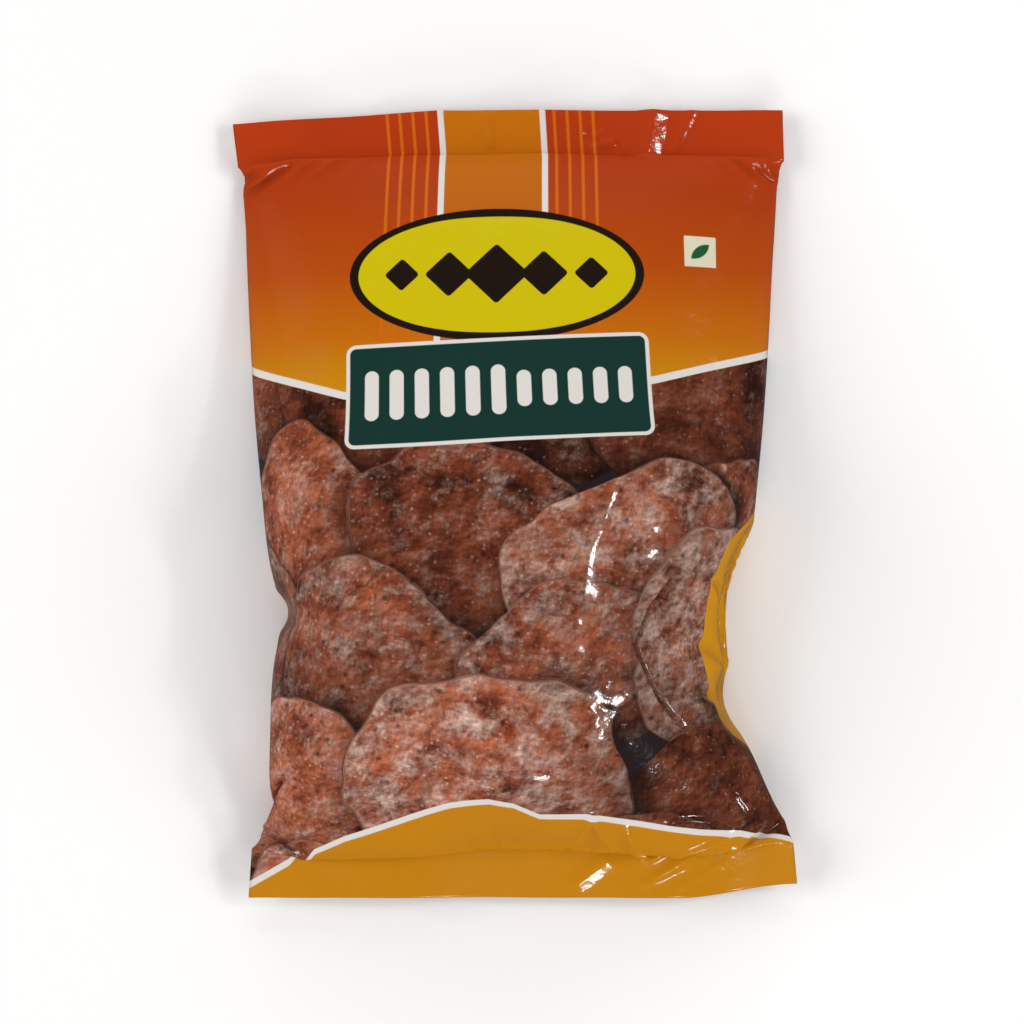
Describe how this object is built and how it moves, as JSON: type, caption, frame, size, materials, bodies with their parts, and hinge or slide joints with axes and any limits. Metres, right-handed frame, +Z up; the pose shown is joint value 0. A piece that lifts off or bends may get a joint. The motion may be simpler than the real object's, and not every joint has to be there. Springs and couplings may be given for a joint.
{
  "type": "pillow pack of jaggery",
  "caption": "Sealed printed film pillow pack filled with round jaggery lumps, lying on its back; flat heat seal at each end and a lapped seam down the back.",
  "frame": {"origin": "on the floor, under the middle of the pack's outline", "axes": "+X across the pack to the right of its front, +Y along the pack towards its top seal, +Z up out of its front face"},
  "size_m": [0.1705, 0.237, 0.0601],
  "materials": {
    "printed_film": "glossy printed plastic film"
  },
  "bodies": {
    "root": {"sealed_pack": "printed_film"}
  },
  "joints": []
}
